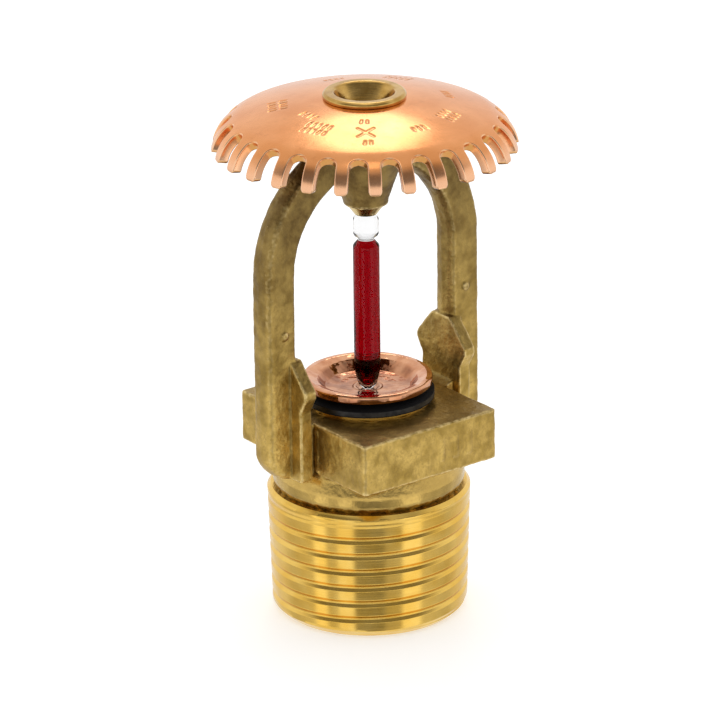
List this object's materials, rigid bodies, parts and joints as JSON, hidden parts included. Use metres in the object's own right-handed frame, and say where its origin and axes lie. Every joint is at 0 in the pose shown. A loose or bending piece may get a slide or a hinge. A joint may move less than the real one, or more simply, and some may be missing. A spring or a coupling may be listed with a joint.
{
  "type": "fire sprinkler head",
  "caption": "Upright glass-bulb fire sprinkler head: tapered pipe thread, wrench boss, arched arms and toothed spray deflector.",
  "frame": {"origin": "centre of the inlet face, on the waterway axis", "axes": "+Z along the waterway from the inlet to the deflector, X through the two frame arms, Y across the wrench flats"},
  "size_m": [0.0322, 0.0322, 0.0573],
  "materials": {
    "cast_brass": "cast olive-brown brass, machined bright on the thread and the nose",
    "deflector_copper": "satin pressed copper alloy sheet",
    "screw_brass": "machined",
    "bulb_glass": "clear",
    "bulb_liquid": "dyed red liquid",
    "cap_copper": "polished copper",
    "insert_steel": "turned stainless steel",
    "spring_nickel": "nickel alloy spring disc",
    "seal_tape": "black fluoropolymer tape"
  },
  "bodies": {
    "frame": {"frame": "cast_brass", "deflector": "deflector_copper"},
    "release_stack": {"pip_cap": "cap_copper", "pip_insert": "insert_steel", "disc_spring": "spring_nickel", "seal_tape_upper": "seal_tape", "seal_tape_lower": "seal_tape", "bulb_glass": "bulb_glass", "bulb_liquid": "bulb_liquid"},
    "load_screw": {"compression_screw": "screw_brass"}
  },
  "joints": [
    {"name": "stack_lift", "type": "slide", "parent": "frame", "child": "release_stack", "axis": [0, 0, 1], "range_m": [0, 0.0028]},
    {"name": "screw_turn", "type": "hinge", "parent": "release_stack", "child": "load_screw", "pos_m": [0, 0, 0.048], "axis": [0, 0, 1], "range_deg": [0, 1440]}
  ],
  "couplings": [
    {"joint": "screw_turn", "follows": "stack_lift", "rad_per_m": 8975.9}
  ]
}
